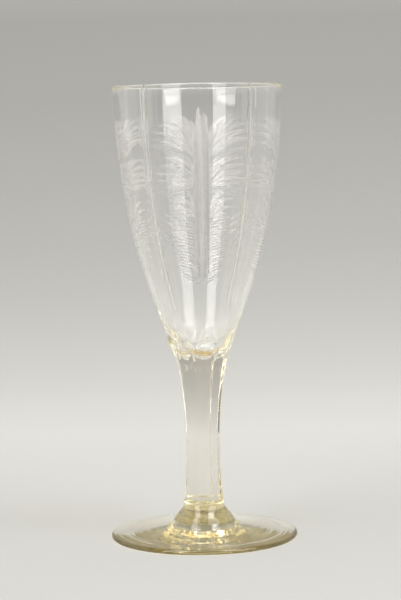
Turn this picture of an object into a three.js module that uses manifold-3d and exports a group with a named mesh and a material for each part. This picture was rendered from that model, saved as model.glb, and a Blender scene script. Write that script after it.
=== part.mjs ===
// An engraved glass goblet: a tall four-lobed bowl on an eight-sided stem, a round boss and a spread foot.
// It is hot-joined from four gathers of glass, and each gather is a mesh of its own.
// Millimetres, +Z up. The origin is the centre of the foot's resting plane.
// The middle of one lobe of the bowl faces -Y, and the bowl's four creases lie between the axes.

import * as THREE from "three";
import { mergeVertices } from "three/addons/utils/BufferGeometryUtils.js";
import Module from "manifold-3d";

const wasm = await Module();
wasm.setup();

// Heights of the four gathers, stacked from the table up

const footHeight = 4.8;
const bossHeight = 10.7;
const stemLength = 56.5;
const bowlHeight = 108;

// Foot

const footRadius = 37.2;
const footEdgeThickness = 1.6;
const restingRingWidth = 4;
const undersideRise = 0.9; // the underside is hollowed a little, so that only a ring stands on the table
const pontilRadius = 8; // the round patch where the working rod was ground away and polished
const pontilDepth = 0.4;
const bossSeatMargin = 0.4; // the foot's level seat is this much wider than the boss all round

// Boss

const bossBaseRadius = 14.2;
const bossTopMargin = 0.15; // the boss's top is this much wider than the stem's arrises

// Stem

const stemFacets = 8;
const stemTopRadius = 10.8; // to the arrises, as the next two are
const stemWaistRadius = 6.8;
const stemBottomRadius = 7.6;
const stemTurn = -1.5; // degrees from a facet's middle to the middle of the bowl's front lobe
const arrisHalfAngle = 2; // degrees: each arris is ground to a narrow flat

// Bowl

const rimRadius = 33.4; // to the middle of a lobe
const rimWall = 1.6;
const bellyRadius = 30.8; // pull of the outline's upper half
const waistRadius = 13.3; // pull of the outline where the bowl draws in
const collarRadius = 13.6; // the thick round base, at its top
const collarHeight = 8;
const collarTipRadius = 10; // the round base where it runs out on the stem's facets
const floorThickness = 10.3; // solid glass under the hollow
const floorRadius = 10.4;
const floorRounding = 5;
const bodyWall = 2.3; // wall where the bowl draws in
const lobeCount = 4;
const lobeOffset = 0.175; // a lobe's own centre lies this share of the radius out from the axis
const lobeRunOut = 20; // height over which the lobes fade into the round base
const creaseWidth = 2.2; // the mitre cut along each crease, at the rim
const creaseDepth = 0.4;

// Fineness of the faces

const lobeColumns = 18;
const footColumns = 56;
const bossColumns = 40;

// Levels worked out from the heights

const footTop = footHeight;
const stemBottom = footTop + bossHeight;
const stemTop = stemBottom + stemLength;
const rimLevel = stemTop + bowlHeight;
const collarLevel = stemTop + collarHeight;
const floorLevel = stemTop + floorThickness;

const degrees = Math.PI / 180;

function point(radius, height) {
  return new THREE.Vector2(radius, height);
}

// Points along a cubic curve through an outline, from its first end to its last.
function bend(start, startPull, endPull, end, steps) {
  return new THREE.CubicBezierCurve(start, startPull, endPull, end).getPoints(steps);
}

// Joins stretches of outline, leaving out a point that repeats the one before it.
function outline(...stretches) {
  const joined = [];
  for (const next of stretches.flat()) {
    const last = joined.at(-1);
    if (!last || last.distanceTo(next) > 1e-6) joined.push(next);
  }
  return joined;
}

// Turns an outline about the axis. columnAngle gives each column's own angle in degrees from -Y,
// and reshape gives a point's radius from its place in the outline and its angle.
function revolve(profile, columns, columnAngle, reshape = (corner) => corner.x) {
  const geometry = new THREE.LatheGeometry(profile, columns);
  const position = geometry.getAttribute("position");
  for (let i = 0; i < position.count; i++) {
    const column = Math.floor(i / profile.length) % columns;
    const corner = profile[i % profile.length];
    const angle = columnAngle(column);
    const radius = corner.x < 1e-9 ? 0 : reshape(corner, angle);
    position.setXYZ(
      i,
      radius * Math.sin(angle * degrees),
      -radius * Math.cos(angle * degrees),
      corner.y,
    );
  }
  return solidOf(geometry);
}

// A closed geometry as a solid that can be joined and cut.
function solidOf(geometry) {
  geometry.deleteAttribute("normal");
  geometry.deleteAttribute("uv");
  const merged = mergeVertices(geometry, 1e-4);
  const corners = merged.index.array;
  const kept = [];
  for (let i = 0; i < corners.length; i += 3) {
    const [a, b, c] = corners.slice(i, i + 3);
    if (a !== b && b !== c && c !== a) kept.push(a, b, c);
  }
  return new wasm.Manifold(
    new wasm.Mesh({
      numProp: 3,
      vertProperties: new Float32Array(merged.attributes.position.array),
      triVerts: new Uint32Array(kept),
    }),
  );
}

function meshOf(name, solid, material) {
  const made = solid.getMesh();
  const geometry = new THREE.BufferGeometry();
  geometry.setAttribute("position", new THREE.BufferAttribute(made.vertProperties, 3));
  geometry.setIndex(new THREE.BufferAttribute(made.triVerts, 1));
  geometry.computeVertexNormals();
  const mesh = new THREE.Mesh(geometry, material);
  mesh.name = name;
  return mesh;
}

// Evenly spaced columns, for the round pieces.
function evenly(columns) {
  return (column) => (360 * column) / columns;
}

// Two columns for each arris of the stem, either side of it.
function facetColumn(column) {
  const pitch = 360 / stemFacets;
  const arris = (Math.floor(column / 2) + 0.5) * pitch;
  const side = column % 2 ? arrisHalfAngle : -arrisHalfAngle;
  return stemTurn + arris + side;
}

function facetedRevolve(profile) {
  return revolve(profile, 2 * stemFacets, facetColumn);
}

// Columns for the bowl: one in each crease, one on each edge of its mitre cut, the rest spread between.
const creaseHalfAngle = creaseWidth / 2 / rimRadius / degrees;
const lobePitch = 360 / lobeCount;

function lobeColumn(column) {
  const lobe = Math.floor(column / lobeColumns);
  const step = column % lobeColumns;
  const spread = (lobePitch - 2 * creaseHalfAngle) / (lobeColumns - 2);
  const fromCrease = step === 0 ? 0 : creaseHalfAngle + (step - 1) * spread;
  return (lobe + 0.5) * lobePitch + fromCrease;
}

// Radius of a lobed ring as a share of its lobes' reach. Each lobe is part of a circle of its own.
function lobeShare(angle, offset) {
  const fromLobe = (angle - lobePitch * Math.round(angle / lobePitch)) * degrees;
  const own = 1 - offset;
  const across = offset * Math.sin(fromLobe);
  return offset * Math.cos(fromLobe) + Math.sqrt(own * own - across * across);
}

// The lobes start above the round base and are full-grown lobeRunOut higher.
function lobeGrowth(height) {
  return THREE.MathUtils.smoothstep(height, collarLevel - 2, collarLevel - 2 + lobeRunOut);
}

function lobed(corner, angle) {
  return corner.x * lobeShare(angle, lobeOffset * lobeGrowth(corner.y));
}

// Depth of the mitre cut in a crease, which narrows and shallows with the bowl.
function mitreDepth(corner, angle) {
  const crease = lobePitch * (Math.floor(angle / lobePitch) + 0.5);
  const share = Math.max(0, 1 - Math.abs(angle - crease) / creaseHalfAngle);
  return creaseDepth * share * lobeGrowth(corner.y) * (corner.x / rimRadius);
}

// The stem's outline swells to both ends from a waist.
function stemOutline(steps) {
  const pull = (4 * stemWaistRadius - (stemTopRadius + stemBottomRadius) / 2) / 3;
  return bend(
    point(stemBottomRadius, stemBottom),
    point(pull, stemBottom + stemLength * 0.27),
    point(pull, stemTop - stemLength * 0.33),
    point(stemTopRadius, stemTop),
    steps,
  );
}

function makeFoot() {
  const seatRadius = bossBaseRadius + bossSeatMargin;
  const ringOuter = footRadius - footEdgeThickness / 2;
  const ringInner = ringOuter - restingRingWidth;
  const edge = [];
  const edgeSteps = 5;
  for (let i = 0; i <= edgeSteps; i++) {
    const turn = Math.PI * (i / edgeSteps - 0.5);
    const half = footEdgeThickness / 2;
    edge.push(point(ringOuter + half * Math.cos(turn), half + half * Math.sin(turn)));
  }
  const hollow = bend(
    point(pontilRadius, undersideRise),
    point(pontilRadius + (ringInner - pontilRadius) / 3, undersideRise),
    point(pontilRadius + ((ringInner - pontilRadius) * 2) / 3, undersideRise / 3),
    point(ringInner, 0),
    5,
  );
  const slope = bend(
    point(ringOuter, footEdgeThickness),
    point(ringOuter - (ringOuter - seatRadius) / 3, footEdgeThickness + 0.6),
    point(seatRadius + (ringOuter - seatRadius) / 3, footTop - 1.4),
    point(seatRadius, footTop),
    7,
  );
  const profile = outline(
    [point(0, undersideRise + pontilDepth)],
    bend(
      point(0, undersideRise + pontilDepth),
      point(pontilRadius / 2, undersideRise + pontilDepth),
      point(pontilRadius * 0.8, undersideRise + pontilDepth / 2),
      point(pontilRadius, undersideRise),
      3,
    ),
    hollow,
    edge,
    slope,
    [point(0, footTop)],
  );
  return revolve(profile, footColumns, evenly(footColumns));
}

function makeBoss() {
  const topRadius = stemBottomRadius + bossTopMargin;
  const profile = outline(
    [point(0, footTop)],
    bend(
      point(bossBaseRadius, footTop),
      point(bossBaseRadius - 0.6, footTop + bossHeight * 0.2),
      point(topRadius, stemBottom - bossHeight * 0.42),
      point(topRadius, stemBottom),
      10,
    ),
    [point(0, stemBottom)],
  );
  return revolve(profile, bossColumns, evenly(bossColumns));
}

function makeStem() {
  return facetedRevolve(
    outline([point(0, stemBottom)], stemOutline(20), [point(0, stemTop)]),
  );
}

// The stem's eight sides run on into the bowl's round base, which bulges over each facet as a tongue.
function makeFacetedSeat() {
  const under = stemOutline(20).slice(-2);
  const flare = (under[1].x - under[0].x) / (under[1].y - under[0].y);
  const seatHeight = collarHeight * 0.6;
  return facetedRevolve([
    point(0, stemTop),
    point(stemTopRadius, stemTop),
    point(stemTopRadius + flare * seatHeight, stemTop + seatHeight),
    point(0, stemTop + seatHeight),
  ]);
}

function bowlOutside() {
  const body = rimLevel - collarLevel;
  return outline(
    [point(0, stemTop)],
    bend(
      point(collarTipRadius, stemTop),
      point(collarRadius - 2.8, stemTop + collarHeight * 0.25),
      point(collarRadius - 1.4, stemTop + collarHeight * 0.6),
      point(collarRadius, collarLevel),
      6,
    ),
    bend(
      point(collarRadius, collarLevel),
      point(waistRadius, collarLevel + body * 0.075),
      point(bellyRadius, collarLevel + body * 0.31),
      point(rimRadius, rimLevel - rimWall / 2),
      19,
    ),
  );
}

// A stretch of the rim, which is fire-polished to half a circle: 0 is its outer edge, 180 its inner.
function rimArc(from, to) {
  const half = rimWall / 2;
  const steps = 2;
  const arc = [];
  for (let i = 0; i <= steps; i++) {
    const turn = (from + ((to - from) * i) / steps) * degrees;
    arc.push(
      point(rimRadius - half + half * Math.cos(turn), rimLevel - half + half * Math.sin(turn)),
    );
  }
  return arc;
}

function bowlInside() {
  const wallLevel = floorLevel + floorRounding;
  const body = rimLevel - collarLevel;
  return outline(
    bend(
      point(rimRadius - rimWall, rimLevel - rimWall / 2),
      point(bellyRadius - bodyWall, collarLevel + body * 0.33),
      point(floorRadius + 1.9, wallLevel + floorRounding * 1.2),
      point(floorRadius, wallLevel),
      15,
    ),
    bend(
      point(floorRadius, wallLevel),
      point(floorRadius - 1.2, wallLevel - floorRounding * 0.6),
      point(floorRadius * 0.55, floorLevel),
      point(0, floorLevel),
      5,
    ),
  );
}

function makeBowl() {
  const outside = outline(bowlOutside(), rimArc(0, 90));
  const inside = outline(rimArc(90, 180), bowlInside());
  const mitred = new Set(outside);
  const shell = revolve(
    outline(outside, inside),
    lobeCount * lobeColumns,
    lobeColumn,
    (corner, angle) =>
      lobed(corner, angle) - (mitred.has(corner) ? mitreDepth(corner, angle) : 0),
  );
  return shell.add(makeFacetedSeat());
}

function glass(color) {
  return new THREE.MeshStandardMaterial({
    color,
    roughness: 0.03,
    metalness: 0,
    transparent: true,
    opacity: 0.35,
  });
}

const goblet = new THREE.Group();
goblet.add(meshOf("foot", makeFoot(), glass("#d8cf9f")));
goblet.add(meshOf("boss", makeBoss(), glass("#dcd3a6")));
goblet.add(meshOf("stem", makeStem(), glass("#e3dcd2")));
goblet.add(meshOf("bowl", makeBowl(), glass("#e9e5d6")));

export default goblet;
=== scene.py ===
# %% [markdown]
# # An engraved glass goblet
# This notebook builds a tall nineteenth-century style goblet in clear, faintly straw-coloured
# glass. It has a bowl with four lobes, a stem cut with eight facets, a round boss and a wide foot.
# Glass is the whole subject: nearly everything the eye sees in it is something else, bent or
# mirrored. So the surfaces have to be smooth and true, the walls need their real thickness,
# and the room around the goblet matters as much as the goblet.

import math

import bpy
import numpy as np
from mathutils import Matrix, Vector


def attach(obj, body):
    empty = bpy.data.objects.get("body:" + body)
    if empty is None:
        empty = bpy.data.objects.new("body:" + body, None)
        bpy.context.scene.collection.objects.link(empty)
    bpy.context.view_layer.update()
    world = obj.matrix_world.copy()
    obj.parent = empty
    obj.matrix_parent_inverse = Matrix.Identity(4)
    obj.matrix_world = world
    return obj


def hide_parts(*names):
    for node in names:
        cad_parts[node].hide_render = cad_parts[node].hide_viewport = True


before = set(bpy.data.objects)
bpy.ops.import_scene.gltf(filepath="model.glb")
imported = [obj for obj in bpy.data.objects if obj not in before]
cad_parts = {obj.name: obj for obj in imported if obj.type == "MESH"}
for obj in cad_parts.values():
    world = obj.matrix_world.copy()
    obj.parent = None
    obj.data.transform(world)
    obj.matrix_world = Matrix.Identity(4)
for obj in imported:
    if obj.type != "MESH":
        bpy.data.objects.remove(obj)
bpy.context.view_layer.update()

# %% [markdown]
# ## Outlines
# A glassworker thinks of a goblet as outlines turned about an axis.
# Each outline here is a cubic curve through four points, given as radius and height in
# millimetres. Cubic curves give an even change of slope, and glass shows the least kink in a wall.

# %% Curves for the outlines
MM = 0.001


def bend(start, start_pull, end_pull, end, steps):
    """Points along a cubic curve, as rows of radius and height in millimetres."""
    t = np.linspace(0.0, 1.0, steps + 1)[:, None]
    s = 1.0 - t
    a, b, c, d = (np.array(corner, dtype=float) for corner in (start, start_pull, end_pull, end))
    return s**3 * a + 3 * s * s * t * b + 3 * s * t * t * c + t**3 * d


def smooth_rise(value, low, high):
    """0 below low, 1 above high, and an easy S between them."""
    t = np.clip((value - low) / (high - low), 0.0, 1.0)
    return t * t * (3 - 2 * t)


# %% Heights above the table, in millimetres
FOOT_TOP = 4.8
STEM_BOTTOM = 15.5
STEM_TOP = 72.0
COLLAR = 80.0
RIM = 180.0
HALF_GAP = 0.01  # fused pieces keep twice this apart, so that no two faces lie in one place
print("the joints in mm:", FOOT_TOP, STEM_BOTTOM, STEM_TOP, "collar:", COLLAR, "rim:", RIM)

# %% [markdown]
# ## Turning an outline into a skin
# The bowl, the boss and the foot are rings of points, joined by four-sided faces.
# A spin modifier could turn a plain outline, but here a ring isn't always round:
# it is an octagon under the bowl and four lobes above it.
# So the rings are worked out as one grid of points, row by row, and skinned in one go.
# Where two gathers of glass are fused there is no surface to see. The faces of such a joint
# carry an attribute named joint, and the glass reads it and lets light straight through.

# %% Shading around the joints
def read(items, name, kind, width=1):
    """One value, or a few, of every item of a mesh, as a flat array."""
    values = np.empty(len(items) * width, dtype=kind)
    items.foreach_get(name, values)
    return values


def mark_sharp(piece, chosen):
    """Marks the chosen edges as sharp, on top of those that already are."""
    mesh = piece.data
    marks = mesh.attributes.get("sharp_edge")
    marks = marks or mesh.attributes.new("sharp_edge", "BOOLEAN", "EDGE")
    marks.data.foreach_set("value", read(marks.data, "value", bool) | chosen)


def part_joints(piece):
    """Shades every face smoothly, but keeps the slopes apart where a joint meets the outside."""
    mesh = piece.data
    joint = read(mesh.attributes["joint"].data, "value", np.float32)
    corners = read(mesh.polygons, "loop_total", np.int64)
    edge_of_corner = read(mesh.loops, "edge_index", np.int64)
    weights = np.repeat(joint, corners)
    joint_faces = np.bincount(edge_of_corner, weights=weights, minlength=len(mesh.edges))
    border = np.isclose(joint_faces, 1.0)
    mark_sharp(piece, border)
    mesh.polygons.foreach_set("use_smooth", [True] * len(mesh.polygons))
    print(f"{piece.name}: {int(joint.sum())} joint faces, {int(border.sum())} edges around them")


# %% Skin a grid of rings
def around(radius, height, angles):
    """Ring points at angles in degrees, counted from the front towards the right."""
    turn = np.radians(angles)
    radius, height = np.broadcast_arrays(radius, height)
    return np.stack([radius * np.sin(turn), -radius * np.cos(turn), height], axis=-1)


def skin(name, rings, pole_heights, joint_rows):
    """A closed mesh from rings. A row of faces lies between two rings, or a ring and a pole."""
    rows, columns = rings.shape[:2]
    poles = [(0, 0, height) for height in pole_heights]
    points = np.vstack([rings.reshape(-1, 3), poles]) * MM
    here = np.arange(columns)
    after = (here + 1) % columns
    first_pole = np.full(columns, rows * columns)
    last = (rows - 1) * columns
    faces = [np.stack([first_pole, after, here], axis=1)]
    for low in range(0, last, columns):
        high = low + columns
        faces.append(np.stack([low + here, low + after, high + after, high + here], axis=1))
    faces.append(np.stack([last + here, last + after, first_pole + 1], axis=1))
    mesh = bpy.data.meshes.new(name)
    mesh.from_pydata(points.tolist(), [], [face for row in faces for face in row.tolist()])
    joint = np.isin(np.repeat(np.arange(rows + 1), columns), joint_rows).astype(np.float32)
    mesh.attributes.new("joint", "FLOAT", "FACE").data.foreach_set("value", joint)
    mesh.validate()
    mesh.update()
    piece = bpy.data.objects.new(name, mesh)
    bpy.context.scene.collection.objects.link(piece)
    print(f"{name}: {len(mesh.vertices)} points, {len(mesh.polygons)} faces")
    part_joints(piece)
    return piece


# %% [markdown]
# ## Eight facets
# The stem was cut with eight long facets after it had cooled.
# Cutting leaves an edge, called an arris, which wears and is polished to a small round.
# A ring of the stem is eight straight sides whose corners are eased.
# Raising the sides' cosines to a high power and taking the same root gives just that,
# and one number says how crisp the arris is.

# %% Ring shape of the cut stem
FACETS = 8
FACET_TURN = 7.0  # degrees
FLAT_SHARE = math.cos(math.radians(20.5))
ARRIS_CRISPNESS = 60.0


def faceted(radius, angles):
    """Radius of the cut ring at each angle, for a ring whose corners reach the given radius."""
    pitch = 360.0 / FACETS
    from_middle = np.abs((angles - FACET_TURN + pitch / 2) % pitch - pitch / 2)
    near = np.cos(np.radians(from_middle)) ** ARRIS_CRISPNESS
    beside = np.cos(np.radians(pitch - from_middle)) ** ARRIS_CRISPNESS
    return radius * FLAT_SHARE * (near + beside) ** (-1.0 / ARRIS_CRISPNESS)


print("a flat lies at", round(float(faceted(1.0, FACET_TURN)), 3), "of the arris's radius")

# %% [markdown]
# ## Four lobes
# The bowl was blown into a mould with four lobes, and each lobe is part of a circle of its own.
# Its centre lies a little way out from the axis, and the four circles meet in creases.
# The lobes fade into the round base.
# A narrow groove runs down each crease on the outside, worn soft, and the crease itself is rounded.

# %% Ring shape of the lobed bowl
RIM_RADIUS = 33.4
LOBE_OFFSET = 0.175  # share of the radius
LOBE_START = 78.0
LOBE_FULL = 98.0
HALF_LOBE = 45.0  # degrees
CREASE_ROUND = 0.9  # degrees
MITRE_HALF_ANGLE = 2.4  # degrees
MITRE_DEPTH = 0.16


def lobe_growth(height):
    """How far the lobes have come out of the round base."""
    return smooth_rise(height, LOBE_START, LOBE_FULL)


def lobed(radius, height, angles, mitred):
    """Radius of the bowl at each angle, for a ring whose lobes reach the given radius."""
    offset = LOBE_OFFSET * lobe_growth(height)
    from_crease = np.abs((angles + 2 * HALF_LOBE) % (2 * HALF_LOBE) - HALF_LOBE)
    eased = np.sqrt(from_crease**2 + CREASE_ROUND**2) - CREASE_ROUND
    whole = math.hypot(HALF_LOBE, CREASE_ROUND) - CREASE_ROUND
    from_lobe = np.radians(HALF_LOBE - HALF_LOBE * eased / whole)
    across = offset * np.sin(from_lobe)
    share = offset * np.cos(from_lobe) + np.sqrt((1 - offset) ** 2 - across**2)
    groove = smooth_rise(-from_crease, -MITRE_HALF_ANGLE, 0.0) * lobe_growth(height)
    return radius * share - mitred * MITRE_DEPTH * groove * radius / RIM_RADIUS


# %% [markdown]
# ## The bowl
# From the stem up there are five stretches: the faceted seat, the round base that bulges over
# the facets as eight tongues, the lobed outside, the fire-polished rim, and the inside down to its
# rounded floor, which ends in a small flat. The floor lies little more than two millimetres above
# the stem. The wall is four millimetres thick at the collar and one and a half at the rim,
# and that change of thickness is what bends the light in the lower bowl.

# %% Columns of the bowl
COLUMN_PITCH = 1.5  # degrees
CREASES = (45.0, 135.0, 225.0, 315.0)
STEPS_BESIDE_CREASE = (0.0, 0.45, 0.9, 1.4, 1.9, 2.4)
STEPS_BESIDE_ARRIS = (0.0, 0.6, 1.2, 1.9, 2.6)


def both_ways(middle, steps):
    """Angles at these steps to both sides of a middle."""
    return {round((middle + way * step) % 360.0, 3) for step in steps for way in (-1, 1)}


def bowl_columns():
    """Angles of the columns: evenly spread, and closer where a crease or an arris runs."""
    angles = set(np.arange(0.0, 360.0, COLUMN_PITCH).round(3))
    for crease in CREASES:
        angles |= both_ways(crease, STEPS_BESIDE_CREASE)
    for facet in range(FACETS):
        angles |= both_ways(FACET_TURN + (facet + 0.5) * 360.0 / FACETS, STEPS_BESIDE_ARRIS)
    return np.array(sorted(angles))


columns = bowl_columns()
print("the bowl has", len(columns), "columns")

# %% Outlines of the bowl
COLLAR_RADIUS = 13.2
BEAD = 0.8  # half the wall's thickness at the rim
BEAD_HEIGHT = RIM - BEAD
FLOOR = 74.4
MARK = 74.2
base = bend((9.2, STEM_TOP), (10.6, 74.0), (11.6, 77.0), (COLLAR_RADIUS, COLLAR), 200)
outside = bend((COLLAR_RADIUS, COLLAR), (14.0, 87.5), (30.8, 111.0), (RIM_RADIUS, BEAD_HEIGHT), 90)
inside = bend((RIM_RADIUS - 2 * BEAD, BEAD_HEIGHT), (29.4, 110.0), (10.8, 84.5), (8.6, 78.2), 70)
hollow_end = bend((8.6, 78.2), (7.9, 76.2), (6.0, FLOOR), (3.4, FLOOR), 16)
flat_mark = bend((3.4, FLOOR), (3.1, MARK), (2.6, MARK), (0.0, MARK), 8)
print("the bowl is", RIM - STEM_TOP, "mm high, and its hollow is", round(RIM - MARK, 1), "mm deep")

# %% Seat and tongues
SEAT_RADIUS = 10.5
SEAT_FLARE = 0.231
SEAT_BEND = 0.005
PETAL_SWELL = 0.055
PETAL_UNEVEN = 0.3
UNEVEN_TURN = 130.0  # degrees
PETAL_START, PETAL_FULL = 69.0, 74.0
PETAL_FADE, PETAL_END = 76.0, 84.0
CROSSING_STEPS = 400


def seat(height):
    """Reach of the arrises above the stem's top, where they go on flaring as the stem does."""
    above = height - STEM_TOP
    return SEAT_RADIUS + SEAT_FLARE * above + SEAT_BEND * above**2


def petal(height, angles):
    """How much the base swells in the middle of each tongue and draws in between the tongues."""
    grown = smooth_rise(height, PETAL_START, PETAL_FULL)
    fade = grown * (1 - smooth_rise(height, PETAL_FADE, PETAL_END))
    from_valley = np.abs(np.cos(np.radians(FACETS / 2 * (angles - FACET_TURN))))
    uneven = 1 + PETAL_UNEVEN * np.sin(np.radians(angles + UNEVEN_TURN))
    return 1 + PETAL_SWELL * fade * uneven * (2 * from_valley - 1)


def base_radius(height, angles):
    """Radius of the round base with its eight swellings."""
    return np.interp(height, base[:, 1], base[:, 0]) * petal(height, angles)


def tongue_crossing(angles):
    """Height at which the round base takes over from the facets, for each column."""
    heights = np.linspace(STEM_TOP, COLLAR - 1.0, CROSSING_STEPS)[:, None]
    cut = faceted(1.0, angles)[None, :] * seat(heights)
    return heights[np.argmax(base_radius(heights, angles[None, :]) >= cut, axis=0), 0]


# %% Rows of the bowl
SEAT_STEPS = 6
TONGUE_STEPS = 12
BEAD_STEPS = 12


def lobed_ring(radius, height, angles, mitred):
    return around(lobed(radius, height, angles, mitred), height, angles)


def bowl_rings(angles):
    """All rings from the seat over the rim to the floor."""
    crossing = tongue_crossing(angles)
    bottom = STEM_TOP + HALF_GAP
    rings = []
    for share in np.linspace(0, 1, SEAT_STEPS + 1):
        height = bottom + (crossing - bottom) * share
        rings.append(around(faceted(seat(height), angles), height, angles))
    for share in np.linspace(0, 1, TONGUE_STEPS + 1)[1:]:
        height = crossing + (COLLAR - crossing) * share
        rings.append(lobed_ring(base_radius(height, angles), height, angles, 1.0))
    for radius, height in outside[1:]:
        rings.append(lobed_ring(radius * petal(height, angles), height, angles, 1.0))
    for turn in np.linspace(0, 180, BEAD_STEPS + 1)[1:]:
        radius = RIM_RADIUS - BEAD + BEAD * math.cos(math.radians(turn))
        height = BEAD_HEIGHT + BEAD * math.sin(math.radians(turn))
        rings.append(lobed_ring(radius, height, angles, max(0.0, 1 - turn / 90)))
    for radius, height in np.vstack([inside[1:], hollow_end[1:], flat_mark[1:-1]]):
        rings.append(lobed_ring(radius, height, angles, 0.0))
    return np.array(rings)


bowl = skin("bowl_glass", bowl_rings(columns), (STEM_TOP + HALF_GAP, MARK), joint_rows=[0])

# %% Keep the tongues' edges crisp
def crisp_ring(piece, row, column_count):
    """Marks one ring's edges as sharp, so that the surfaces beside it keep their own slopes."""
    ends = read(piece.data.edges, "vertices", np.int64, 2)
    in_row = (ends.reshape(-1, 2) // column_count == row).all(axis=1)
    mark_sharp(piece, in_row)
    print(f"{piece.name}: {int(in_row.sum())} crisp edges in ring {row}")


crisp_ring(bowl, SEAT_STEPS, len(columns))

# %% [markdown]
# ## The stem
# The stem is the one piece that is wholly made by a rule: a cylinder whose radius follows a curve
# along its length and the facet rule around it. Geometry Nodes suit that well.
# A Mesh Cylinder gives the points, and one Set Position moves each point to where the rule says.
# Its columns are crowded towards the arrises, where the surface turns quickly.

# %% Helpers for wiring a node tree
def feed(tree, socket, term):
    """Links another socket to this one, or sets this one to a plain value."""
    if isinstance(term, bpy.types.NodeSocket):
        tree.links.new(term, socket)
    else:
        socket.default_value = term


def add_node(tree, kind, inputs=None, **settings):
    """Adds a node with its settings, and feeds its inputs by name or number."""
    node = tree.nodes.new(kind)
    for name, value in settings.items():
        setattr(node, name, value)
    for key, term in (inputs or {}).items():
        feed(tree, node.inputs[key], term)
    return node


def calc(tree, operation, *terms):
    """The result of a Math node."""
    return add_node(tree, "ShaderNodeMath", dict(enumerate(terms)), operation=operation).outputs[0]


def times(tree, first, *others):
    """The product of two or more terms."""
    for other in others:
        first = calc(tree, "MULTIPLY", first, other)
    return first


def split(tree, place):
    """The outputs named X, Y and Z of a vector."""
    return add_node(tree, "ShaderNodeSeparateXYZ", {0: place}).outputs


def vector(tree, x, y, z):
    return add_node(tree, "ShaderNodeCombineXYZ", {"X": x, "Y": y, "Z": z}).outputs[0]


def scaled(tree, direction, length):
    """A direction made as long as the length says."""
    inputs = {0: direction, "Scale": length}
    return add_node(tree, "ShaderNodeVectorMath", inputs, operation="SCALE").outputs[0]


# %% Helpers for Geometry Nodes
def new_tree(name, inputs):
    """A node group that gives out geometry, and its inputs, given as name, kind and value."""
    tree = bpy.data.node_groups.new(name, "GeometryNodeTree")
    tree.interface.new_socket("Geometry", in_out="OUTPUT", socket_type="NodeSocketGeometry")
    for label, kind, value in inputs:
        kind = "NodeSocket" + kind
        socket = tree.interface.new_socket(label, in_out="INPUT", socket_type=kind)
        if value is not None:
            socket.default_value = value
    return tree, tree.nodes.new("NodeGroupInput").outputs


def stored(tree, geometry, name, domain, value):
    """Writes an attribute on the geometry."""
    kind = "GeometryNodeStoreNamedAttribute"
    inputs = {"Geometry": geometry, "Name": name, "Value": value}
    return add_node(tree, kind, inputs, data_type="FLOAT", domain=domain).outputs[0]


def give_out(tree, geometry, material):
    """Makes copies real, gives them their material and hands them out of the tree."""
    real = add_node(tree, "GeometryNodeRealizeInstances", {0: geometry}).outputs[0]
    coated = add_node(tree, "GeometryNodeSetMaterial", {"Geometry": real, "Material": material})
    add_node(tree, "NodeGroupOutput", {0: coated.outputs[0]})


def made_mesh(name, tree, settings, start=None):
    """Runs a node tree on a mesh, or on an empty one, and keeps the result as a plain mesh."""
    piece = bpy.data.objects.new(name, start or bpy.data.meshes.new(name + "_start"))
    bpy.context.scene.collection.objects.link(piece)
    modifier = piece.modifiers.new("make", "NODES")
    modifier.node_group = tree
    for item in tree.interface.items_tree:
        if item.item_type == "SOCKET" and item.in_out == "INPUT" and item.name in settings:
            modifier[item.identifier] = settings[item.name]
    piece.update_tag()
    bpy.context.view_layer.update()
    graph = bpy.context.evaluated_depsgraph_get()
    result = bpy.data.meshes.new_from_object(piece.evaluated_get(graph))
    result.name = name
    piece.modifiers.remove(modifier)
    piece.data = result
    print(f"{name}: {len(result.vertices)} points, {len(result.polygons)} faces")
    return piece


# %% Rules of the cut stem
def cubic(tree, t, ends):
    """A cubic curve's value at t, from sockets for its four points."""
    s = calc(tree, "SUBTRACT", 1.0, t)
    total = 0.0
    for power, (end, weight) in enumerate(zip(ends, (1.0, 3.0, 3.0, 1.0))):
        s_power = calc(tree, "POWER", s, 3.0 - power)
        t_power = calc(tree, "POWER", t, float(power))
        total = calc(tree, "ADD", total, times(tree, s_power, t_power, weight, end))
    return total


def facet_rule(tree, even, given):
    """Moves an evenly spread angle towards its arris. Gives the angle and the cut ring's reach."""
    pitch = calc(tree, "DIVIDE", 2 * math.pi, given["Facets"])
    middle = times(tree, calc(tree, "ROUND", calc(tree, "DIVIDE", even, pitch)), pitch)
    half = calc(tree, "DIVIDE", pitch, 2.0)
    along = calc(tree, "DIVIDE", calc(tree, "SUBTRACT", even, middle), half)
    from_middle = times(tree, calc(tree, "SINE", times(tree, along, math.pi / 2)), half)
    crispness = given["Arris crispness"]
    near = calc(tree, "POWER", calc(tree, "COSINE", from_middle), crispness)
    to_next = calc(tree, "SUBTRACT", pitch, calc(tree, "ABSOLUTE", from_middle))
    beside = calc(tree, "POWER", calc(tree, "COSINE", to_next), crispness)
    root = calc(tree, "DIVIDE", -1.0, crispness)
    reach = calc(tree, "POWER", calc(tree, "ADD", near, beside), root)
    turned = calc(tree, "RADIANS", given["Facet turn"])
    return calc(tree, "ADD", calc(tree, "ADD", middle, from_middle), turned), reach


# %% Node tree of the cut stem
STEM_COLUMNS = 160
STEM_ROWS = 72


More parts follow.
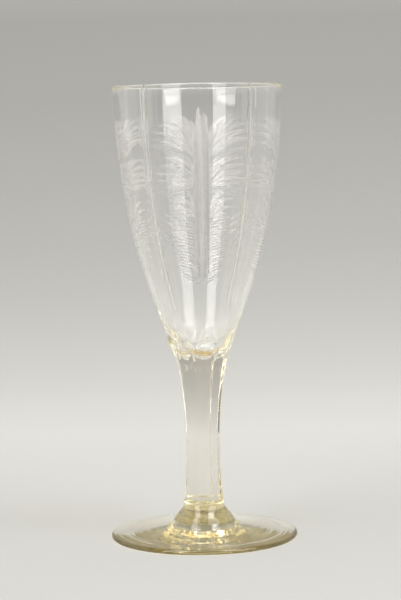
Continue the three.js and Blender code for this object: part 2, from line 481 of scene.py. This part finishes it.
def stem_tree():
    ends = ("Bottom", "Lower pull", "Upper pull", "Top")
    radii = [end + " radius" for end in ends]
    heights = [end + " height" for end in ends]
    names = radii + heights + ["Facets", "Facet turn", "Flat share", "Arris crispness"]
    inputs = [(name, "Float", 1.0) for name in names] + [("Glass", "Material", None)]
    tree, given = new_tree("cut_stem", inputs)
    size = {"Vertices": STEM_COLUMNS, "Side Segments": STEM_ROWS, "Radius": 1.0, "Depth": 1.0}
    tube = add_node(tree, "GeometryNodeMeshCylinder", size, fill_type="NGON").outputs
    place = split(tree, add_node(tree, "GeometryNodeInputPosition").outputs[0])
    t = calc(tree, "ADD", place["Z"], 0.5)
    radius = cubic(tree, t, [given[name] for name in radii])
    height = cubic(tree, t, [given[name] for name in heights])
    angle, reach = facet_rule(tree, calc(tree, "ARCTAN2", place["Y"], place["X"]), given)
    reach = times(tree, radius, given["Flat share"], reach)
    right = times(tree, reach, calc(tree, "SINE", angle))
    back = times(tree, reach, calc(tree, "COSINE", angle), -1.0)
    position = scaled(tree, vector(tree, right, back, height), MM)
    inputs = {"Geometry": tube["Mesh"], "Position": position}
    shaped = add_node(tree, "GeometryNodeSetPosition", inputs).outputs[0]
    inputs = {"Geometry": shaped, "Selection": tube["Side"]}
    smooth = add_node(tree, "GeometryNodeSetShadeSmooth", inputs).outputs[0]
    joint = calc(tree, "ADD", tube["Top"], tube["Bottom"])
    give_out(tree, stored(tree, smooth, "joint", "FACE", joint), given["Glass"])
    return tree


# %% [markdown]
# ## The glass
# Old clear glass is never quite colourless. Iron and the ash in the batch leave a straw tint,
# which is strongest where light travels a long way through the metal: in the foot, the boss and
# the collar. So the colour isn't painted on the surface. It is a volume that absorbs a little more
# blue than red for every millimetre of path, and thick parts turn straw-coloured by themselves.
# The surface is a smooth Principled glass with a very faint waviness, as blown and fire-polished
# glass has. Light on its way to a lamp passes the glass as through a thin film,
# or the floor under the foot stays dark.

# %% Helpers for materials
def mixed(tree, share, first, second):
    """Two shaders, of which the second gets the share."""
    return add_node(tree, "ShaderNodeMixShader", {0: share, 1: first, 2: second}).outputs[0]


def mapped(tree, value, low, high, start=0.0, end=1.0):
    """Goes from start to end while the value goes from low to high."""
    inputs = {"Value": value, "From Min": low, "From Max": high, "To Min": start, "To Max": end}
    return add_node(tree, "ShaderNodeMapRange", inputs).outputs[0]


def noise_at(tree, place, scale, detail):
    inputs = {"Vector": place, "Scale": scale, "Detail": detail}
    return add_node(tree, "ShaderNodeTexNoise", inputs).outputs["Fac"]


def light_path(tree, name):
    return add_node(tree, "ShaderNodeLightPath").outputs[name]


def see_through(tree, colour=(1.0, 1.0, 1.0)):
    return add_node(tree, "ShaderNodeBsdfTransparent", {"Color": (*colour, 1)}).outputs[0]


def new_material(name):
    material = bpy.data.materials.new(name)
    material.use_nodes = True
    return material, material.node_tree


# %% Relief of blown and tooled glass
WAVE_SCALE = 90.0
WAVE_DRAWN = 0.35  # the waves are drawn out along the axis
MARK_SCALE = 420.0
MARK_DRIFT = 0.12  # lets the tool marks change slowly around the piece
MARK_FADE = 8.0


def waviness(tree, wave_depth, turned_depth, turned_up_to):
    """Relief in metres: slow waves, and tool marks round the axis up to a height in mm."""
    place = add_node(tree, "ShaderNodeTexCoord").outputs["Object"]
    stretch = {"Vector": place, "Scale": (1.0, 1.0, WAVE_DRAWN)}
    drawn = add_node(tree, "ShaderNodeMapping", stretch).outputs[0]
    waves = times(tree, noise_at(tree, drawn, WAVE_SCALE, 1.0), wave_depth)
    x, y, z = split(tree, place)
    squares = calc(tree, "ADD", calc(tree, "POWER", x, 2.0), calc(tree, "POWER", y, 2.0))
    ring = vector(tree, calc(tree, "SQRT", squares), times(tree, x, MARK_DRIFT), z)
    fade_end = (turned_up_to + MARK_FADE) * MM
    fade = mapped(tree, z, turned_up_to * MM, fade_end, turned_depth, 0.0)
    marks = times(tree, noise_at(tree, ring, MARK_SCALE, 2.0), fade)
    relief = {"Strength": 1.0, "Distance": 1.0, "Height": calc(tree, "ADD", waves, marks)}
    return add_node(tree, "ShaderNodeBump", relief).outputs[0]


# %% Material of the glass
GLASS_IOR = 1.52
SHADE = (0.95, 0.94, 0.92)  # what the thin film lets through to a lamp


def clear_glass(name, absorbed, density, wave_depth, turned_depth, turned_up_to):
    """Glass whose volume keeps the colour absorbed, the more so the denser it is."""
    material, tree = new_material(name)
    tree.nodes.clear()
    look = {"Base Color": (1, 1, 1, 1), "Roughness": 0.0, "IOR": GLASS_IOR}
    look["Transmission Weight"] = 1.0
    look["Normal"] = waviness(tree, wave_depth, turned_depth, turned_up_to)
    surface = add_node(tree, "ShaderNodeBsdfPrincipled", look).outputs[0]
    lit = mixed(tree, light_path(tree, "Is Shadow Ray"), surface, see_through(tree, SHADE))
    joint = add_node(tree, "ShaderNodeAttribute", attribute_name="joint").outputs["Fac"]
    tint = {"Color": (*absorbed, 1), "Density": density}
    volume = add_node(tree, "ShaderNodeVolumeAbsorption", tint).outputs[0]
    whole = {"Surface": mixed(tree, joint, lit, see_through(tree)), "Volume": volume}
    add_node(tree, "ShaderNodeOutputMaterial", whole)
    blue = math.exp(-density * 0.01 * (1 - absorbed[2]))
    print(f"{name}: one centimetre of it lets {blue:.2f} of the blue light through")
    return material


bowl_glass = clear_glass("clear_bowl_glass", (0.88, 0.82, 0.55), 17.0, 0.00003, 0.00002, 80.0)
stem_glass = clear_glass("clear_stem_glass", (0.92, 0.84, 0.66), 26.0, 0.00002, 0.0, 0.0)
boss_glass = clear_glass("straw_boss_glass", (0.78, 0.7, 0.38), 42.0, 0.00002, 0.00045, 20.0)
foot_glass = clear_glass("straw_foot_glass", (0.72, 0.65, 0.34), 42.0, 0.000006, 0.00008, 20.0)
bowl.data.materials.append(bowl_glass)

# %% Make the stem
STEM_BOTTOM_RADIUS = 7.9
STEM_WAIST_PULL = 6.2
stem = made_mesh(
    "stem_glass",
    stem_tree(),
    {
        "Bottom radius": STEM_BOTTOM_RADIUS,
        "Lower pull radius": STEM_WAIST_PULL,
        "Upper pull radius": STEM_WAIST_PULL,
        "Top radius": SEAT_RADIUS,
        "Bottom height": STEM_BOTTOM + HALF_GAP,
        "Lower pull height": 30.76,
        "Upper pull height": 53.36,
        "Top height": STEM_TOP - HALF_GAP,
        "Facets": float(FACETS),
        "Facet turn": FACET_TURN,
        "Flat share": FLAT_SHARE,
        "Arris crispness": ARRIS_CRISPNESS,
        "Glass": stem_glass,
    },
)
part_joints(stem)

# %% [markdown]
# ## The boss
# Between stem and foot sits a small round cone of glass, dropped on hot.
# Its neck is round and the eight facets die into it, so its last millimetre changes
# from a circle to the stem's octagon. A plain spin couldn't do that, so it is made of rings too.

# %% Make the boss
BOSS_RADIUS = 14.2
SHOULDER = (10.1, 10.0)
NECK_RADIUS = 8.0
NECK = 14.6
NECK_STEPS = 7


def boss_rings(angles):
    """Rings from the foot up to the stem."""
    cone = bend((BOSS_RADIUS, FOOT_TOP + HALF_GAP), (13.0, 6.3), (11.6, 8.3), SHOULDER, 20)
    neck = bend(SHOULDER, (8.8, 11.5), (NECK_RADIUS, 12.0), (NECK_RADIUS, NECK), 20)
    rings = [around(radius + 0 * angles, height, angles) for radius, height in [*cone, *neck[1:]]]
    top = STEM_BOTTOM - HALF_GAP
    for share in np.linspace(0, 1, NECK_STEPS + 1)[1:]:
        blend = smooth_rise(share, 0, 1)
        radius = NECK_RADIUS * (1 - blend) + faceted(STEM_BOTTOM_RADIUS, angles) * blend
        rings.append(around(radius, NECK + (top - NECK) * share, angles))
    return np.array(rings)


round_columns = np.arange(0.0, 360.0, 2.5)
rings = boss_rings(round_columns)
poles = (FOOT_TOP + HALF_GAP, STEM_BOTTOM - HALF_GAP)
boss = skin("boss_glass", rings, poles, joint_rows=[0, len(rings)])
boss.data.materials.append(boss_glass)

# %% [markdown]
# ## The foot
# The foot was spun out from a gather of its own. It stands on a narrow ring near its edge,
# so the rest of the underside is hollowed a little, with the polished pontil mark in the middle.
# It is round all over, and the rings serve here because the face under the boss is a joint.

# %% Make the foot
EDGE_MIDDLE = 36.2
EDGE_ROUND = 1.0
STANDING_RING = 32.4
PONTIL_HEIGHT = 1.3
PONTIL_EDGE = (8, 0.9)
SLOPE_END = 14.6


def foot_rings(angles):
    """Rings from the middle of the underside round the edge and up to the boss."""
    top = FOOT_TOP - HALF_GAP
    pontil = bend((0, PONTIL_HEIGHT), (4, PONTIL_HEIGHT), (6.4, 1.1), PONTIL_EDGE, 8)
    hollow = bend(PONTIL_EDGE, (16.1, 0.9), (24.3, 0.3), (STANDING_RING, 0), 20)
    turns = np.radians(np.linspace(-90, 90, 15))
    out, up = EDGE_MIDDLE + EDGE_ROUND * np.cos(turns), EDGE_ROUND * (1 + np.sin(turns))
    edge = np.stack([out, up], axis=1)
    slope = bend((EDGE_MIDDLE, 2 * EDGE_ROUND), (29.1, 2.5), (21.9, 3.5), (SLOPE_END, top), 36)
    line = np.vstack([pontil[1:], hollow[1:], edge, slope[1:], [(BOSS_RADIUS, top)]])
    return np.array([around(radius + 0 * angles, height, angles) for radius, height in line])


rings = foot_rings(round_columns)
poles = (PONTIL_HEIGHT, FOOT_TOP - HALF_GAP)
foot = skin("foot_glass", rings, poles, joint_rows=[len(rings)])
foot.data.materials.append(foot_glass)

# %% [markdown]
# ## The engraving
# Each lobe carries the same upright spray of foliage, cut with small copper wheels and left matt.
# A spear-shaped blade stands in the middle. Two plumes of pointed leaves spread from it, one above
# the other, with smaller leaves, short cross cuts and two pairs of curls below.
# Every leaf is a bundle of fine, nearly parallel cuts that spread at its middle and meet at its
# tip. So only the leaves' midribs are drawn here, as guide lines on a flat sheet, in millimetres,
# sideways from the middle of the lobe and upwards from the table.
# A node tree turns each guide into its bundle and lays it on the glass.

# %% Guide lines
GUIDE_STEPS = 13
EARLY, LATE = 0.18, 0.62  # shares of the way across at which a midrib is pulled
DROOP = 0.3  # share of the climb that the tip loses again
LEFT_REACH = 1.14  # the left leaves reach out a little further
BLADE_SIDE = 3.3
ROOT_PITCH = 0.85
guides = []


def leaf(root, tip, climb, spread, cut):
    """A guide that climbs from its root and bends out to its tip."""
    across = tip[0] - root[0]
    start_pull = (root[0] + EARLY * across, root[1] + climb)
    end_pull = (root[0] + LATE * across, tip[1] + DROOP * climb)
    guides.append((bend(root, start_pull, end_pull, tip, GUIDE_STEPS), spread, cut))


def both_sides(root, tip, climb, spread, cut, nudge=(0.0, 0.0)):
    """The same leaf to the left and to the right, the right one's tip nudged as a hand would."""
    leaf((-root[0], root[1]), (-LEFT_REACH * tip[0], tip[1]), climb, spread, cut)
    leaf(root, (tip[0] + nudge[0], tip[1] + nudge[1]), climb, spread, cut)


def plume(root_height, tips, spread, cut):
    """A fan of leaves whose roots run down beside the blade."""
    for place, (out, high) in enumerate(tips):
        root = (BLADE_SIDE, root_height - ROOT_PITCH * place)
        climb = max(0.8, 0.55 * (high - root[1]))
        nudge = (-0.7 + 0.25 * place, 0.8 - 0.3 * place)
        both_sides(root, (out, high), climb, spread, cut, nudge)


# %% Draw one spray
leaf((0.9, 106.5), (1.3, 170.4), 20.0, 1.1, 1.1)
leaf((-1.2, 106.5), (-1.7, 166.8), 20.0, 1.1, 1.0)
leaf((2.3, 108.0), (2.7, 163.0), 18.0, 0.4, 0.5)
upper = [(6.2, 163.8), (9.4, 165.8), (12.8, 166.4), (16.2, 165.6), (18.7, 163.4), (19.3, 160.4)]
upper += [(18.7, 157.6), (16.6, 156.8), (13.4, 156.4)]
plume(157.0, upper, 1.2, 0.2)
middle = [(8.8, 149.4), (12.8, 150.2), (16.4, 149.4), (18.3, 147.0), (18.8, 144.2), (18.0, 141.4)]
middle += [(15.8, 139.4), (12.8, 138.0)]
plume(144.5, middle, 1.15, 0.2)
lower = [(8.4, 135.6), (11.6, 133.0), (12.6, 129.8), (10.2, 127.2), (7.4, 126.2)]
plume(129.0, lower, 0.7, 0.22)
CROSS_CUTS = 14
for step in range(CROSS_CUTS):
    height = 124.2 - 1.2 * step
    both_sides((3.4, height), (12.2 - 0.3 * step, height + 1.1), 0.6, 0.22, 0.11)
both_sides((1.6, 106.2), (8.6, 109.2), -1.6, 0.25, 0.16)
both_sides((0.8, 104.6), (6.6, 107.0), -1.3, 0.22, 0.14)
both_sides((12.6, 124.6), (15.8, 127.4), 1.0, 0.5, 0.16)
both_sides((12.0, 121.8), (14.9, 124.2), 1.0, 0.5, 0.16)
both_sides((11.4, 118.8), (14.0, 121.0), 1.0, 0.45, 0.16)
print("guide lines of one lobe:", len(guides))

# %% A sheet of guide lines
SHEET_SHIFT = 1.0


def guide_sheet():
    """Edges along every guide, with its spread, its width of cut and the place along it."""
    points, edges, spread, cut, along = [], [], [], [], []
    for line, leaf_spread, leaf_cut in guides:
        first = len(points)
        points += [(x + SHEET_SHIFT, height, 0.0) for x, height in line]
        edges += [(first + step, first + step + 1) for step in range(len(line) - 1)]
        spread += [leaf_spread] * len(line)
        cut += [leaf_cut] * len(line)
        along += list(np.linspace(0, 1, len(line)))
    mesh = bpy.data.meshes.new("guide_sheet")
    mesh.from_pydata((np.array(points) * MM).tolist(), edges, [])
    for name, values in (("spread", spread), ("cut", cut), ("along", along)):
        mesh.attributes.new(name, "FLOAT", "POINT").data.foreach_set("value", values)
    return mesh


# %% [markdown]
# ## From guides to cuts
# The node tree copies every guide, pushes each copy sideways by its own random share of the
# spread, and cuts some copies short, so that the leaf's edge is feathered.
# Each copy becomes a narrow flat ribbon. Rays shot at the bowl carry the ribbons onto its outer
# skin, and turned copies fill the four lobes. They were set out a little short of
# a quarter turn each.

# %% Bundles of cuts
RANDOM_SHARES = (("side", -1.0, 1.0), ("reach", 0.7, 1.05), ("cut_depth", 0.0, 1.0))
WIDEST_EARLY = 0.75  # below 1 a bundle is widest before its middle


def random_share(tree, low, high, seed, offset):
    """A random number of its own for every copy."""
    inputs = {2: low, 3: high, "Seed": calc(tree, "ADD", seed, float(offset))}
    return add_node(tree, "FunctionNodeRandomValue", inputs, data_type="FLOAT").outputs[1]


def named(tree, name):
    """Reads an attribute by its name."""
    kind = "GeometryNodeInputNamedAttribute"
    return add_node(tree, kind, {"Name": name}, data_type="FLOAT").outputs["Attribute"]


def bundled(tree, guide_mesh, count, seed):
    """Copies every guide, spreads its copies at the middle and cuts some of them short."""
    lines = add_node(tree, "GeometryNodeMeshToCurve", {0: guide_mesh}).outputs[0]
    inputs = {"Geometry": lines, "Amount": count}
    copies = add_node(tree, "GeometryNodeDuplicateElements", inputs, domain="SPLINE").outputs[0]
    for offset, (name, low, high) in enumerate(RANDOM_SHARES):
        share = random_share(tree, low, high, seed, offset)
        copies = stored(tree, copies, name, "CURVE", share)
    along = named(tree, "along")
    swell = calc(tree, "SINE", times(tree, calc(tree, "POWER", along, WIDEST_EARLY), math.pi))
    aside = times(tree, named(tree, "spread"), swell, MM, named(tree, "side"))
    way = split(tree, add_node(tree, "GeometryNodeInputTangent").outputs[0])
    across = vector(tree, times(tree, way["Y"], -1.0), way["X"], 0.0)
    inputs = {"Geometry": copies, "Offset": scaled(tree, across, aside)}
    apart = add_node(tree, "GeometryNodeSetPosition", inputs).outputs[0]
    too_far = calc(tree, "GREATER_THAN", along, named(tree, "reach"))
    inputs = {"Geometry": apart, "Selection": too_far}
    return add_node(tree, "GeometryNodeDeleteGeometry", inputs, domain="POINT").outputs[0]


# %% Ribbons on the bowl
RAY_START = 0.08  # metres in front of the axis
LIE_FLAT = 0.00002  # metres above the skin, for the shallowest cut
LIE_MORE = 0.00006
TAPER_START, TAPER_LENGTH = 0.12, 0.85  # the stretch of a sine's half wave that a cut follows


def ribbons(tree, lines):
    """Gives every line a flat width that tapers to both ends."""
    place = calc(tree, "ADD", times(tree, named(tree, "along"), TAPER_LENGTH), TAPER_START)
    taper = calc(tree, "SINE", times(tree, place, math.pi))
    width = times(tree, named(tree, "cut"), taper, MM)
    upright = add_node(tree, "GeometryNodeSetCurveNormal", {"Curve": lines}, mode="Z_UP")
    across = {"Start": (-1.0, 0.0, 0.0), "End": (1.0, 0.0, 0.0)}
    blade = add_node(tree, "GeometryNodeCurvePrimitiveLine", across).outputs[0]
    inputs = {"Curve": upright.outputs[0], "Profile Curve": blade, "Scale": width}
    return add_node(tree, "GeometryNodeCurveToMesh", inputs).outputs[0]


def draped(tree, flat, target):
    """Carries the flat ribbons straight back onto the target's skin, the deeper cuts on top."""
    place = split(tree, add_node(tree, "GeometryNodeInputPosition").outputs[0])
    glass = add_node(tree, "GeometryNodeObjectInfo", {"Object": target}).outputs["Geometry"]
    ray = {"Target Geometry": glass, "Ray Direction": (0.0, 1.0, 0.0), "Ray Length": RAY_START}
    ray["Source Position"] = vector(tree, place["X"], -RAY_START, place["Y"])
    hit = add_node(tree, "GeometryNodeRaycast", ray).outputs
    above = calc(tree, "ADD", times(tree, named(tree, "cut_depth"), LIE_MORE), LIE_FLAT)
    inputs = {0: hit["Hit Position"], 1: scaled(tree, hit["Hit Normal"], above)}
    position = add_node(tree, "ShaderNodeVectorMath", inputs).outputs[0]
    inputs = {"Geometry": flat, "Position": position}
    return add_node(tree, "GeometryNodeSetPosition", inputs).outputs[0]


def turned_copies(tree, spray, count, turn):
    """Repeats the spray around the axis."""
    inputs = {"Count": count, "Offset": (0.0, 0.0, 0.0)}
    spots = add_node(tree, "GeometryNodeMeshLine", inputs).outputs[0]
    angle = times(tree, add_node(tree, "GeometryNodeInputIndex").outputs[0], turn)
    inputs = {"Points": spots, "Instance": spray, "Rotation": vector(tree, 0.0, 0.0, angle)}
    return add_node(tree, "GeometryNodeInstanceOnPoints", inputs).outputs[0]


def engraving_tree():
    inputs = [("Guides", "Geometry", None), ("Cuts per leaf", "Int", 9), ("Seed", "Int", 1)]
    inputs += [("Lobes", "Int", 4), ("Turn per lobe", "Float", math.pi / 2)]
    inputs += [("Bowl", "Object", None), ("Matt", "Material", None)]
    tree, given = new_tree("wheel_cuts", inputs)
    lines = bundled(tree, given["Guides"], given["Cuts per leaf"], given["Seed"])
    spray = draped(tree, ribbons(tree, lines), given["Bowl"])
    sprays = turned_copies(tree, spray, given["Lobes"], given["Turn per lobe"])
    give_out(tree, sprays, given["Matt"])
    return tree


# %% [markdown]
# ## Ground glass
# A wheel leaves a surface of tiny pits, which scatters light instead of letting it straight
# through. Seen against a pale room it looks greyish white and half transparent, deeper cuts
# more so. A fine noise breaks it up as the grit does.

# %% Material of the cuts
SHALLOW_COVER, DEEP_COVER = 0.1, 0.34
GRIT_SCALE = 1400.0
GRIT_COVER = 0.85  # share of the cover that the finest pits leave


def ground_glass():
    material, tree = new_material("ground_glass")
    surface = tree.nodes["Principled BSDF"]
    surface.inputs["Base Color"].default_value = (0.52, 0.512, 0.503, 1)
    surface.inputs["Roughness"].default_value = 0.45
    depth = add_node(tree, "ShaderNodeAttribute", attribute_name="cut_depth").outputs["Fac"]
    cover = mapped(tree, depth, 0.0, 1.0, SHALLOW_COVER, DEEP_COVER)
    place = add_node(tree, "ShaderNodeTexCoord").outputs["Object"]
    grit = mapped(tree, noise_at(tree, place, GRIT_SCALE, 2.0), 0.3, 0.7, GRIT_COVER, 1.0)
    cut = mixed(tree, times(tree, cover, grit), see_through(tree), surface.outputs[0])
    feed(tree, tree.nodes["Material Output"].inputs["Surface"], cut)
    return material


# %% Cut the engraving
TURN_PER_LOBE = 87.5  # degrees
cuts = made_mesh(
    "bowl_engraving",
    engraving_tree(),
    {
        "Cuts per leaf": 9,
        "Seed": 7,
        "Lobes": 4,
        "Turn per lobe": math.radians(TURN_PER_LOBE),
        "Bowl": bowl,
        "Matt": ground_glass(),
    },
    guide_sheet(),
)
places = np.array([point.co for point in cuts.data.vertices]) / MM
print("the engraving's box in mm:", places.min(axis=0).round(1), places.max(axis=0).round(1))

# %% [markdown]
# ## The studio
# The goblet stands on a pale paper sweep that curves up behind it. Painted shade darkens the
# paper's colour behind the bowl, with a painted shadow round the foot, and the paper turns lighter
# again higher up, out of sight, where only the bent light in the glass reaches it.
# Two tall soft boxes stand in front of it, one on each side, and one large one hangs above.
# Clear glass shows such boxes as long pale bands, so their places matter more than their strength.
# Two weak wide ones stand level with the goblet, out of the picture: the sides of the bowl mirror
# them at a slant and would be dull without them. Two small ones high up light the paper evenly.
# Away from the goblet the paper and the room are painted one pale tone for the camera alone,
# and the back of the paper lets the camera through, so the goblet can be looked at from all sides.

# %% Shape of the paper sweep, in metres
FLOOR_FRONT = -1.6
SWEEP_START = 0.35
SWEEP_RADIUS = 0.55
SWEEP_HALF_WIDTH = 2.2
WALL_TOP = 2.4
PAPER_DROP = 0.0002  # keeps the paper just under the foot


def paper_sweep():
    """A floor that rises into a wall behind the goblet, in one sheet."""
    turns = np.radians(np.linspace(0, 90, 25))
    rise = SWEEP_RADIUS * (1 - np.cos(turns))
    curve = np.stack([SWEEP_START + SWEEP_RADIUS * np.sin(turns), rise], axis=1)
    floor = [(FLOOR_FRONT, 0.0), (-0.6, 0.0), (0.0, 0.0)]
    line = np.vstack([floor, curve, [(SWEEP_START + SWEEP_RADIUS, WALL_TOP)]]) - (0.0, PAPER_DROP)
    sides = np.linspace(-SWEEP_HALF_WIDTH, SWEEP_HALF_WIDTH, 3)
    points = [(x, y, z) for y, z in line for x in sides]
    faces = []
    for row in range(len(line) - 1):
        for column in range(len(sides) - 1):
            a = row * len(sides) + column
            faces.append((a, a + 1, a + 1 + len(sides), a + len(sides)))
    mesh = bpy.data.meshes.new("paper_sweep")
    mesh.from_pydata(points, [], faces)
    mesh.polygons.foreach_set("use_smooth", [True] * len(faces))
    sheet = bpy.data.objects.new("paper_sweep", mesh)
    bpy.context.scene.collection.objects.link(sheet)
    return sheet


# %% Material of the paper
FAR_TONE = (0.66, 0.655, 0.635)
FAR_ASIDE, FAR_AHEAD = (0.4, 1.1), (0.3, 1.0)
HIGH_TONE = (0.45, 0.445, 0.428)
HIGH_START, HIGH_FULL = 0.205, 0.32
PAPER_WARMTH = (1.0, 0.99, 0.945)
# how pale the paper is at each distance behind the goblet, in metres. The dip at the foot is a
# painted shadow of the goblet, and the fall up the curve is painted shade where the light falls off
PAPER_TONES_WITH_PAINTED_SHADE = [(0.0, 0.405), (0.03, 0.405), (0.1, 0.445), (0.17, 0.475), (0.25, 0.51)]
PAPER_TONES_WITH_PAINTED_SHADE += [(0.35, 0.508), (0.46, 0.437), (0.54, 0.38), (0.6, 0.345), (0.65, 0.323)]
PAPER_TONES_WITH_PAINTED_SHADE += [(0.73, 0.286), (0.79, 0.27)]


def open_the_far_side(tree, near, place):
    """Paints the far paper as pale as the room, and lets a camera behind it look through."""
    aside = mapped(tree, calc(tree, "ABSOLUTE", place["X"]), *FAR_ASIDE)
    ahead = mapped(tree, times(tree, place["Y"], -1.0), *FAR_AHEAD)
    share = times(tree, calc(tree, "MAXIMUM", aside, ahead), light_path(tree, "Is Camera Ray"))
    pale = add_node(tree, "ShaderNodeEmission", {"Color": (*FAR_TONE, 1)}).outputs[0]
    far = mixed(tree, share, near, pale)
    behind = add_node(tree, "ShaderNodeNewGeometry").outputs["Backfacing"]
    return mixed(tree, behind, far, see_through(tree))


def paper_material():
    material, tree = new_material("pale_paper")
    surface = tree.nodes["Principled BSDF"]
    surface.inputs["Roughness"].default_value = 0.9
    surface.inputs["Specular IOR Level"].default_value = 0.0
    place = split(tree, add_node(tree, "ShaderNodeTexCoord").outputs["Object"])
    # the ramp paints shade into the paper's colour: a painted shadow at the foot and painted shade
    # up the curve
    ramp = add_node(tree, "ShaderNodeValToRGB", {"Fac": place["Y"]})
    while len(ramp.color_ramp.elements) < len(PAPER_TONES_WITH_PAINTED_SHADE):
        ramp.color_ramp.elements.new(0.5)
    for element, (position, tone) in zip(ramp.color_ramp.elements, PAPER_TONES_WITH_PAINTED_SHADE):
        element.position = position
        element.color = (*(tone * share for share in PAPER_WARMTH), 1)
    high = mapped(tree, place["Z"], HIGH_START, HIGH_FULL)
    tones = {"Factor": high, "A": ramp.outputs["Color"], "B": (*HIGH_TONE, 1)}
    colour = add_node(tree, "ShaderNodeMix", tones, data_type="RGBA").outputs["Result"]
    feed(tree, surface.inputs["Base Color"], colour)
    whole = open_the_far_side(tree, surface.outputs[0], place)
    feed(tree, tree.nodes["Material Output"].inputs["Surface"], whole)
    return material


sweep = paper_sweep()
sweep.data.materials.append(paper_material())
print("the paper sweep has", len(sweep.data.polygons), "faces")

# %% Lamps
LAMP_COLOUR = (1.0, 0.998, 0.99)
GOBLET_MIDDLE = (0, 0, 0.12)
TABLE_MIDDLE = (0, 0, 0)


def soft_box(name, place, target, width, height, power):
    """A rectangular lamp that faces its target."""
    data = bpy.data.lights.new(name, "AREA")
    data.shape = "RECTANGLE"
    data.size, data.size_y = width, height
    data.energy = power
    data.color = LAMP_COLOUR
    lamp = bpy.data.objects.new(name, data)
    lamp.location = place
    lamp.rotation_euler = (Vector(target) - Vector(place)).to_track_quat("-Z", "Y").to_euler()
    lamp.visible_camera = False
    bpy.context.scene.collection.objects.link(lamp)
    print(f"{name}: {width} by {height} m, {power} W")


def place_around(azimuth, distance, height):
    """A place at an angle from the front, positive towards the right."""
    turn = math.radians(azimuth)
    return (distance * math.sin(turn), -distance * math.cos(turn), height)


soft_box("left_box", place_around(-41, 1.0, 0.62), GOBLET_MIDDLE, 0.56, 1.36, 9.64)
soft_box("right_box", place_around(48.5, 1.0, 0.62), GOBLET_MIDDLE, 0.76, 1.36, 12.42)
soft_box("top_box", (0, 0.1, 1.3), TABLE_MIDDLE, 0.9, 0.9, 5.89)
soft_box("left_card", place_around(-105, 0.9, 0.45), GOBLET_MIDDLE, 1.0, 1.1, 1.9)
soft_box("right_card", place_around(105, 0.9, 0.45), GOBLET_MIDDLE, 1.0, 1.1, 1.4)
soft_box("upper_left_box", (-0.52, -0.32, 1.37), TABLE_MIDDLE, 0.4, 0.4, 2.66)
soft_box("upper_right_box", (0.52, -0.32, 1.37), TABLE_MIDDLE, 0.4, 0.4, 5.70)

# %% World
world = bpy.data.worlds.new("studio")
bpy.context.scene.world = world
world.use_nodes = True
tree = world.node_tree
room = tree.nodes["Background"]
room.inputs["Color"].default_value = (0.3, 0.3, 0.295, 1)
far_room = add_node(tree, "ShaderNodeBackground", {"Color": (*FAR_TONE, 1)})
both = mixed(tree, light_path(tree, "Is Camera Ray"), room.outputs[0], far_room.outputs[0])
feed(tree, tree.nodes["World Output"].inputs["Surface"], both)

# %% [markdown]
# ## The camera
# The photograph was taken from a little above the rim with a long lens, about a metre away.
# The numbers come from matching the rim's and the foot's ellipses: a shorter lens nearer by
# would show both wider open.

# %% Camera
CAMERA_PLACE = (0.0, -0.96868, 0.20694)
LOOK_DOWN = 6.589  # degrees
ROLL = -1.017  # degrees
LENS = 147.64  # millimetres
camera_data = bpy.data.cameras.new("camera")
camera_data.lens = LENS
camera_data.sensor_width = 36.0
camera = bpy.data.objects.new("camera", camera_data)
bpy.context.scene.collection.objects.link(camera)
camera.matrix_world = (
    Matrix.Translation(CAMERA_PLACE)
    @ Matrix.Rotation(math.radians(90 - LOOK_DOWN), 4, "X")
    @ Matrix.Rotation(math.radians(ROLL), 4, "Z")
)
bpy.context.scene.camera = camera
print("the camera stands", CAMERA_PLACE, "and looks down by", LOOK_DOWN, "degrees")

# %% [markdown]
# ## Bounces
# On its way through two walls, a crease and the foot's edge, light meets dozens of surfaces.
# With the usual handful of bounces it would end inside the glass and leave black streaks there.

# %% Render settings that glass needs
scene = bpy.context.scene
scene.view_settings.view_transform = "Standard"
scene.cycles.max_bounces = 64
scene.cycles.transmission_bounces = 32
scene.cycles.glossy_bounces = 48
scene.cycles.transparent_max_bounces = 128
print("light may bounce", scene.cycles.max_bounces, "times")

# %% [markdown]
# ## Hand the pieces over
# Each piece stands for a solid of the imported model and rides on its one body.

# %% Ride, replace, finish
for piece, node in ((bowl, "bowl"), (stem, "stem"), (boss, "boss"), (foot, "foot")):
    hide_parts(node)
    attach(piece, "root")
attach(cuts, "root")
